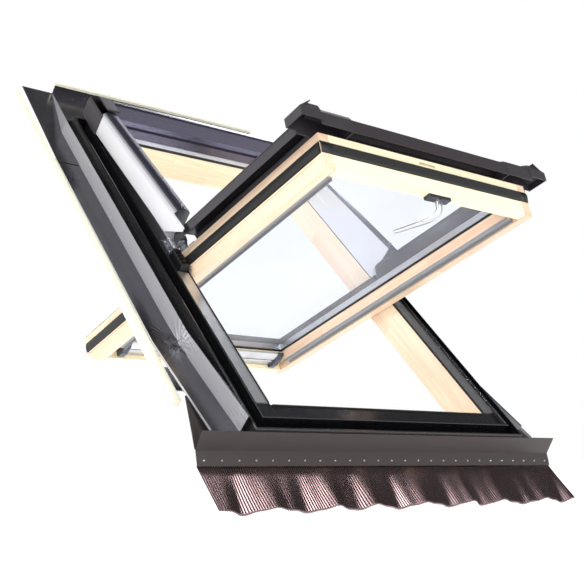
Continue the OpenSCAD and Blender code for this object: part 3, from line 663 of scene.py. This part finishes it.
# The side colour here is painted light: a lighter lit colour on the upstands and other faces that look left
# or right.
FLASHING = Coated("flashing_sheet", "77767B", rough=0.24, metal=1.0, depth=0.05, wear=0.05,
                  shine="A09FA6", side="B4B4B8")
SILL = Coated("sill_sheet", "332C2C", Along.ACROSS, rough=0.40, metal=0.35, shine="574C4B")
APRON = Coated("pleated_sheet", "6A5A5B", rough=0.22, metal=0.95, depth=0.04, shine="8E7C80", wear=0.25)
SILVER = Satin("satin_silver", "C9CACD", Along.ACROSS)
SILVER_ROOF = Satin("silver_strip", "DADADB", rough=0.32)
CHROME = Satin("handle_satin", "C4C5C9", rough=0.16)
CHANNEL = Coated("grey_channel", "8D8F92", Along.SASH, rough=0.42, metal=0.3, shine="B5B6B8")
ZINC = Zinc("zinc_plate", "C7CAD0")
RUBBER = Coated("black_rubber", "060607", rough=0.52, shine="1B1B1E", depth=0.2)
PLASTIC = Coated("black_plastic", "0B0B0D", rough=0.35, shine="26262B", depth=0.2)
VENT_CAP = Coated("vent_end_cap", "2E3342", rough=0.36, shine="4A5064")
ROSE = Coated("handle_rose", "34353F", rough=0.30, metal=0.4, shine="6A6C78")
FOAM = Foam("cream_foam", "EDEAD9")
GLASS = Pane("clear_glass", "EDF2FC")

NODE_FINISH: dict[Finish, str] = {
    PINE_ROOF: "frame_left frame_right",
    PINE_ACROSS: "frame_top frame_bottom",
    PINE_STILE: "sash_left sash_right",
    PINE_RAIL: "sash_bottom sash_top",
    BLACK: "profile_left profile_right profile_bottom profile_top glazing_beads",
    COVER: "bottom_cover", COVER_SIDE: "side_cover_left side_cover_right",
    UPPER: "upper_cover_left upper_cover_right head_cover",
    MOULDED: "head_cap_left head_cap_right cover_cap_left cover_cap_right",
    FLASHING: "head_flashing flashing_left flashing_right", SILL: "sill_flashing", APRON: "apron",
    SILVER: "vent_bar vent_flap pane_spacer rebate_strip_top",
    SILVER_ROOF: "rebate_strip_left rebate_strip_right", CHROME: "handle_lever",
    CHANNEL: "blind_channel_left blind_channel_right",
    ZINC: "cover_screws apron_rivets mounting_brackets bracket_screws hinge_plate_left "
          "hinge_plate_right hinge_arm_left hinge_arm_right striker lock_cam",
    RUBBER: "frame_seals sash_seals glazing_gaskets",
    PLASTIC: "hinge_housing_left hinge_housing_right",
    VENT_CAP: "vent_cap_left vent_cap_right", ROSE: "handle_base",
    FOAM: "side_foam_left side_foam_right head_foam", GLASS: "inner_pane outer_pane",
}
SOFT_EDGE = {"sash_left": 1.2, "sash_right": 1.2, "sash_bottom": 1.4, "sash_top": 1.2,
             "frame_left": 1.0, "frame_right": 1.0, "frame_top": 1.0, "frame_bottom": 1.0,
             "cover_cap_left": 0.8, "cover_cap_right": 0.8, "handle_base": 1.5,
             "head_cap_left": 0.8, "head_cap_right": 0.8, "vent_cap_left": 1.2,
             "vent_cap_right": 1.2, "hinge_plate_left": 0.4, "hinge_plate_right": 0.4}


@dataclass
class Stage:
    """Floor, lights and camera; lengths are in metres."""

    floor_half: float = 90.0
    lens: float = 59.5
    sensor: float = 36.0
    eye: tuple[float, float, float] = (-1.390, -1.5115, -0.0245)
    ahead: tuple[float, float, float] = (0.601, 0.780, 0.172)
    lit: tuple[float, float, float] = (0.0, 0.35, 0.45)

    def build(self) -> None:
        """Builds the studio."""
        self.floor()
        self.sky()
        bpy.context.scene.view_settings.view_transform = "Standard"
        self.light("key", (-3.2, -0.6, 2.6), 1.6, 130.0)
        self.light("fill", (-0.4, -3.4, 0.9), 2.4, 80.0)
        self.light("rim", (2.2, 2.6, 3.2), 1.8, 60.0)
        self.camera()

    def floor(self) -> None:
        """Lays the floor at the window's lowest point."""
        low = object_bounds()[0][2]
        far = self.floor_half
        corners = [(-far, -far, low), (far, -far, low), (far, far, low), (-far, far, low)]
        mesh = bpy.data.meshes.new("floor")
        mesh.from_pydata(corners, [], [(0, 1, 2, 3)])
        mesh.materials.append(Floor("pale_floor", "FAFAFA").material())
        floor = bpy.data.objects.new("floor", mesh)
        bpy.context.scene.collection.objects.link(floor)
        floor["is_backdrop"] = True

    def sky(self) -> None:
        """Builds a surround that is bright near the horizon, dark overhead, and white to the camera."""
        world = bpy.data.worlds.new("studio")
        world.use_nodes = True
        tree = world.node_tree
        tree.nodes.clear()
        make = tree.nodes.new
        out = make("ShaderNodeOutputWorld")
        mixer = make("ShaderNodeMixShader")
        path = make("ShaderNodeLightPath")
        white = make("ShaderNodeBackground")
        white.inputs["Color"].default_value = (1.0, 1.0, 1.0, 1.0)
        surround = make("ShaderNodeBackground")
        where = make("ShaderNodeTexCoord")
        split = make("ShaderNodeSeparateXYZ")
        half = make("ShaderNodeMath")
        half.operation = "MULTIPLY_ADD"
        half.inputs[1].default_value = half.inputs[2].default_value = 0.5
        ramp = make("ShaderNodeValToRGB")
        stops = ramp.color_ramp.elements
        stops[0].color, stops[1].color = (0.95, 0.95, 0.95, 1.0), (0.10, 0.10, 0.11, 1.0)
        for at, level in ((0.44, 1.0), (0.66, 1.25), (0.76, 0.14)):
            stops.new(at).color = (level * 0.99, level * 0.99, level, 1.0)
        for start, end in ((where.outputs["Generated"], split.inputs[0]),
                           (split.outputs["Z"], half.inputs[0]),
                           (half.outputs[0], ramp.inputs[0]),
                           (ramp.outputs[0], surround.inputs["Color"]),
                           (path.outputs["Is Camera Ray"], mixer.inputs[0]),
                           (surround.outputs[0], mixer.inputs[1]),
                           (white.outputs[0], mixer.inputs[2]),
                           (mixer.outputs[0], out.inputs["Surface"])):
            tree.links.new(start, end)
        bpy.context.scene.world = world

    def light(self, name: str, at: Sequence[float], size: float, power: float) -> None:
        """Adds a soft square light that points at the window.

        Args:
            name: The light's name.
            at: Its place in metres.
            size: Its width in metres.
            power: Its power in watts.
        """
        data = bpy.data.lights.new(name, "AREA")
        data.size = size
        data.energy = power
        lamp = bpy.data.objects.new(name, data)
        lamp.location = at
        lamp.rotation_euler = (Vector(self.lit) - Vector(at)).to_track_quat("-Z", "Y").to_euler()
        bpy.context.scene.collection.objects.link(lamp)
        LOG.info("light %s at %s", name, tuple(at))

    def camera(self) -> None:
        """Puts the camera below and to the left, looking slightly up."""
        data = bpy.data.cameras.new("view")
        data.lens = self.lens
        data.sensor_width = self.sensor
        data.dof.use_dof = False
        view = bpy.data.objects.new("view", data)
        view.location = self.eye
        view.rotation_euler = Vector(self.ahead).to_track_quat("-Z", "Y").to_euler()
        bpy.context.scene.collection.objects.link(view)
        bpy.context.scene.camera = view


class Sheet:
    """A mesh made from a grid of points."""

    def __init__(self, name: str, rows: Sequence[Sequence[Vector]], closed: bool = False) -> None:
        """Builds the mesh.

        Args:
            name: The piece's name.
            rows: Rows of points, all as long as each other.
            closed: Whether each row joins up with its own start.
        """
        wide = len(rows[0])
        mesh = bpy.data.meshes.new(name)
        spans = range(wide) if closed else range(wide - 1)
        faces = []
        for j in range(len(rows) - 1):
            here, above = j * wide, (j + 1) * wide
            faces += [(here + i, here + (i + 1) % wide, above + (i + 1) % wide, above + i) for i in spans]
        if closed:
            last = (len(rows) - 1) * wide
            faces += [tuple(range(wide))[::-1], tuple(range(last, last + wide))]
        mesh.from_pydata([tuple(p) for row in rows for p in row], [], faces)
        mesh.polygons.foreach_set("use_smooth", [True] * len(mesh.polygons))
        mesh.update()
        self.piece = bpy.data.objects.new(name, mesh)
        bpy.context.scene.collection.objects.link(self.piece)
        LOG.info("piece %s: %d faces", name, len(faces))

    def dress(self, finish: Finish, body: Body, node: str = "",
              thick: float = 0.0) -> bpy.types.Object:
        """Gives the piece its finish and its body.

        Args:
            finish: The finish.
            body: The body that it rides on.
            node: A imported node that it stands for.
            thick: Sheet thickness in metres.

        Returns:
            The piece.
        """
        self.piece.data.materials.append(finish.material())
        if thick:
            solid = self.piece.modifiers.new("sheet", "SOLIDIFY")
            solid.thickness = thick
            solid.offset = 0.0
        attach(self.piece, body.value)
        if node:
            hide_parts(node)
        return self.piece


def tube(path: Sequence[Vector], radii: Sequence[float], sides: int = 16,
         flat: float = 1.0) -> list[list[Vector]]:
    """Rings round a path.

    Args:
        path: The path's points.
        radii: Radius at each point, in metres.
        sides: Points in a ring.
        flat: Thickness of the ring as a part of its width.

    Returns:
        One row of points for each point of the path.
    """
    rows = []
    side = Vector((1.0, 0.0, 0.0))
    for k, (point, radius) in enumerate(zip(path, radii)):
        ahead = (path[min(k + 1, len(path) - 1)] - path[max(k - 1, 0)]).normalized()
        side = (side - ahead * side.dot(ahead)).normalized()
        up = ahead.cross(side)
        rows.append([point + side * (radius * math.cos(a)) + up * (radius * flat * math.sin(a))
                     for a in (2 * math.pi * i / sides for i in range(sides))])
    return rows


def eased(points: Sequence[Sequence[float]], steps: int) -> list[list[float]]:
    """Draws a smooth line through points.

    Args:
        points: Points of any number of parts.
        steps: Pieces between two points.

    Returns:
        The finer points.
    """
    out = []
    for k in range(len(points) - 1):
        a, b, c, d = (points[max(0, min(len(points) - 1, k + n))] for n in (-1, 0, 1, 2))
        for q in range(steps):
            t = q / steps
            out.append([0.5 * (2 * y + (z - x) * t + (2 * x - 5 * y + 4 * z - w) * t * t
                               + (3 * y - x - 3 * z + w) * t ** 3) for x, y, z, w in zip(a, b, c, d)])
    out.append(list(points[-1]))
    return out


@dataclass
class Apron:
    """The pleated apron under the window; lengths are in millimetres."""

    half: float = 483.0
    top: float = -68.0
    length: float = 103.0
    middle: float = 19.3
    fall: float = 6.5
    waves: int = 8
    wave_rise: float = 7.0
    ripples: int = 21
    ripple_rise: float = 1.6
    pleat: float = 5.2
    pleat_rise: float = 0.9
    sway: float = 3.0
    columns: int = 1480
    rows: int = 22

    def height(self, x: float, k: float) -> float:
        """Height of the sheet.

        Args:
            x: Across the window, in millimetres.
            k: 0 at the top edge and 1 at the lower edge.

        Returns:
            The height in millimetres.
        """
        turn = 2 * math.pi * (x + self.half) / (2 * self.half)
        wave = math.sin(self.waves * turn + 0.7 * math.sin(3 * turn) + 1.1 * k)
        ripple = math.sin(self.ripples * turn + 2.0 * k + 1.3)
        pleat = math.sin(2 * math.pi * x / self.pleat) * min(1.0, 0.35 + 3.0 * k)
        loose = self.wave_rise * wave + self.ripple_rise * ripple - self.fall
        return self.middle + k * loose + self.pleat_rise * pleat

    def build(self) -> None:
        """Builds the apron."""
        grid = []
        for j in range(self.rows + 1):
            k = j / self.rows
            line = []
            for i in range(self.columns + 1):
                x = -self.half + 2 * self.half * i / self.columns
                lean = self.sway * k * math.sin(2 * math.pi * 5 * i / self.columns + 0.8)
                lean *= 1.0 - abs(x) / self.half
                line.append(roof(x + lean, self.top - self.length * k, self.height(x, k)))
            grid.append(line)
        Sheet("pleated_apron", grid).dress(APRON, Body.FRAME, "apron", 0.0006)


@dataclass
class SideFlashing:
    """A side flashing with its crinkled fold; lengths are in millimetres."""

    side: int
    node: str
    outer: float = 443.0
    fold: float = 380.0
    low: float = 21.5
    high: float = 61.0
    kick: float = 270.8
    kick_rise: float = 28.0
    kick_run: float = 280.8
    creases: float = 17.0
    crease_depth: float = 3.4
    crease_start: float = 9.0
    crease_reach: float = 40.0

    def section(self) -> list[tuple[float, float]]:
        """Points across the sheet, from the outer hem to the top hem.

        Returns:
            Distances from the middle and heights, in millimetres.
        """
        flat = [(self.outer + (self.fold - self.outer) * i / 30, self.low) for i in range(31)]
        wall = [(self.fold, self.low + (self.high - self.low) * i / 18) for i in range(1, 19)]
        hem = [(self.outer + 0.5, self.low + 5.5), (self.outer + 0.5, self.low + 1.5)]
        return [*hem, *flat, *wall, (self.fold - 2.0, self.high + 0.3), (self.fold - 3.8, self.high - 0.4)]

    def stations(self) -> list[float]:
        """Places up the slope: close together at the creases and further apart elsewhere.

        Returns:
            Distances up the slope, in millimetres, from the top.
        """
        upper = [994.0 - 40.0 * i for i in range(16)]
        creased = [354.0 - 3.0 * i for i in range(56)]
        ramp = [188.0 - 20.0 * i for i in range(10)]
        return [*upper, *creased, *ramp, -13.0]

    def crease(self, x: float, y: float, z: float) -> float:
        """Depth of the creases that fan out from the fold's inner corner.

        Args:
            x: Distance from the middle, in millimetres.
            y: Up the slope, in millimetres.
            z: Height, in millimetres.

        Returns:
            How far the sheet is pushed, in millimetres.
        """
        out = (x - self.fold) + (z - self.low)
        along = y - self.kick
        reach = math.hypot(out, along)
        if reach < 0.5:
            return 0.0
        fan = math.sin(math.atan2(along, out) * self.creases)
        fade = min(1.0, reach / self.crease_start) * math.exp(-(reach / self.crease_reach) ** 2)
        return self.crease_depth * fan * fade

    def build(self) -> None:
        """Builds the flashing."""
        grid = []
        for y in self.stations():
            lift = max(0.0, self.kick - y) * self.kick_rise / self.kick_run
            line = []
            for x, z in self.section():
                push = self.crease(x, y, z)
                if z > self.low + 0.5 and x < self.fold + 20.0:
                    line.append(roof(self.side * (x + push * 0.5), y, z + lift))
                else:
                    line.append(roof(self.side * x, y, z + lift + abs(push)))
            grid.append(line)
        sheet = Sheet(self.node + "_folded", grid)
        piece = sheet.dress(FLASHING, Body.FRAME, self.node, 0.0009)
        edges = piece.modifiers.new("edges", "EDGE_SPLIT")
        edges.split_angle = math.radians(40.0)


@dataclass
class Handle:
    """The curved handle; lengths are in millimetres."""

    pivot_x: float = 6.0
    pivot_s: float = 487.0
    turn: float = math.radians(34.0)
    line: tuple[tuple[float, float, float], ...] = (
        (0, -109, 9.4), (0, -117, 8.8), (0.5, -126, 8.0), (4, -136, 7.4), (13, -144, 6.9),
        (28, -148.0, 6.2), (60, -148.8, 5.4), (92, -149.2, 4.9), (101, -149.2, 4.6), (103, -149.2, 2.6))

    def build(self) -> None:
        """Sweeps the handle along its line of reach, height and radius."""
        fine = eased(self.line, 6)
        across, down = math.sin(self.turn), math.cos(self.turn)
        path = [sash(self.pivot_x - u * across, self.pivot_s - u * down, t) for u, t, _ in fine]
        rings = tube(path, [radius * MM for _, _, radius in fine], 22, 0.8)
        Sheet("curved_handle", rings, True).dress(CHROME, Body.HANDLE, "handle_lever")


@dataclass
class HingeDetails:
    """Springs and rivet heads of the hinges; lengths are in millimetres."""

    spring_x: float = 318.0
    spring_y: float = 524.0
    spring_z: float = 94.0
    spring_long: float = 44.0
    coil: float = 4.6
    wire: float = 0.9
    turns: int = 9
    steps: int = 14
    rivets: tuple[tuple[float, float], ...] = ((320.0, 536.0), (316.0, 558.0), (316.0, 576.0))
    rivet_z: float = 79.6

    def build(self) -> None:
        """Builds both sides."""
        for side, word in ((-1, "left"), (1, "right")):
            self.spring(side, word)
            for k, (x, y) in enumerate(self.rivets):
                self.rivet(f"hinge_rivet_{word}_{k}", side * x, y)

    def spring(self, side: int, word: str) -> None:
        """Builds a brake spring beside the pivot.

        Args:
            side: -1 for left and 1 for right.
            word: The side's name.
        """
        path = []
        for i in range(self.turns * self.steps + 1):
            angle = 2 * math.pi * i / self.steps
            path.append(roof(side * self.spring_x + self.coil * math.cos(angle),
                             self.spring_y + self.spring_long * i / (self.turns * self.steps),
                             self.spring_z + self.coil * math.sin(angle)))
        rings = tube(path, [self.wire * MM] * len(path), 8)
        Sheet(f"hinge_spring_{word}", rings, True).dress(ZINC, Body.FRAME)

    def rivet(self, name: str, x: float, y: float) -> None:
        """Builds a domed rivet head.

        Args:
            name: The piece's name.
            x: Across, in millimetres.
            y: Up the slope, in millimetres.
        """
        profile = ((3.4, 0.0), (3.4, 0.7), (2.8, 1.5), (1.6, 2.0), (1.2, 1.5), (0.1, 1.4))
        angles = [2 * math.pi * i / 20 for i in range(20)]
        rows = [[roof(x + r * math.cos(a), y + r * math.sin(a), self.rivet_z + h) for a in angles]
                for r, h in profile]
        Sheet(name, rows, True).dress(ZINC, Body.FRAME)


@dataclass
class SealCorners:
    """Moulded corners that carry the sash seal round the front ends of the stiles, in millimetres."""

    edge: float = -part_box("sash_left")[0][0] / MM
    front: float = 497.0
    profile: tuple[tuple[float, float], ...] = (
        (0.1, -69.5), (2.4, -66.0), (4.6, -58.0), (4.6, -50.0), (0.1, -43.5))
    ends: tuple[tuple[float, float], ...] = ((25.2, 1.0), (12.0, 1.0), (3.0, 1.0), (0.6, 0.8), (-0.8, 0.35))

    def build(self) -> None:
        """Builds both corners, each thinning out where it meets the side seal."""
        for side, word in ((-1, "left"), (1, "right")):
            rows = []
            for back, grow in self.ends:
                x = side * (self.edge - back)
                rows.append([sash(x, self.front + depth * grow, t) for depth, t in self.profile])
            Sheet(f"seal_corner_{word}", rows).dress(RUBBER, Body.SASH, "", 0.0004)


@dataclass
class CadPieces:
    """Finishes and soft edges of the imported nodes."""

    rounds: int = 2
    sharp: float = math.radians(38.0)

    def build(self) -> None:
        """Puts the finishes on."""
        for finish, names in NODE_FINISH.items():
            for name in names.split():
                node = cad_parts[name]
                node.data.materials.clear()
                node.data.materials.append(finish.material())
                self.soften(node, SOFT_EDGE.get(name, 0.0))
                LOG.info("node %s: %s", name, finish.name)

    def soften(self, node: bpy.types.Object, width: float) -> None:
        """Rounds a node's sharp edges.

        Args:
            node: The node's object.
            width: Radius in millimetres; 0 leaves it alone.
        """
        if not width:
            return
        bevel = node.modifiers.new("soft_edge", "BEVEL")
        bevel.width = width * MM
        bevel.segments = self.rounds
        bevel.limit_method = "ANGLE"
        bevel.angle_limit = self.sharp
        bevel.harden_normals = False


def main() -> None:
    """Builds the whole scene."""
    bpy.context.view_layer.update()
    CadPieces().build()
    Apron().build()
    SideFlashing(-1, "flashing_left").build()
    SideFlashing(1, "flashing_right").build()
    Handle().build()
    HingeDetails().build()
    SealCorners().build()
    Stage().build()


if __name__ == "__main__":
    main()
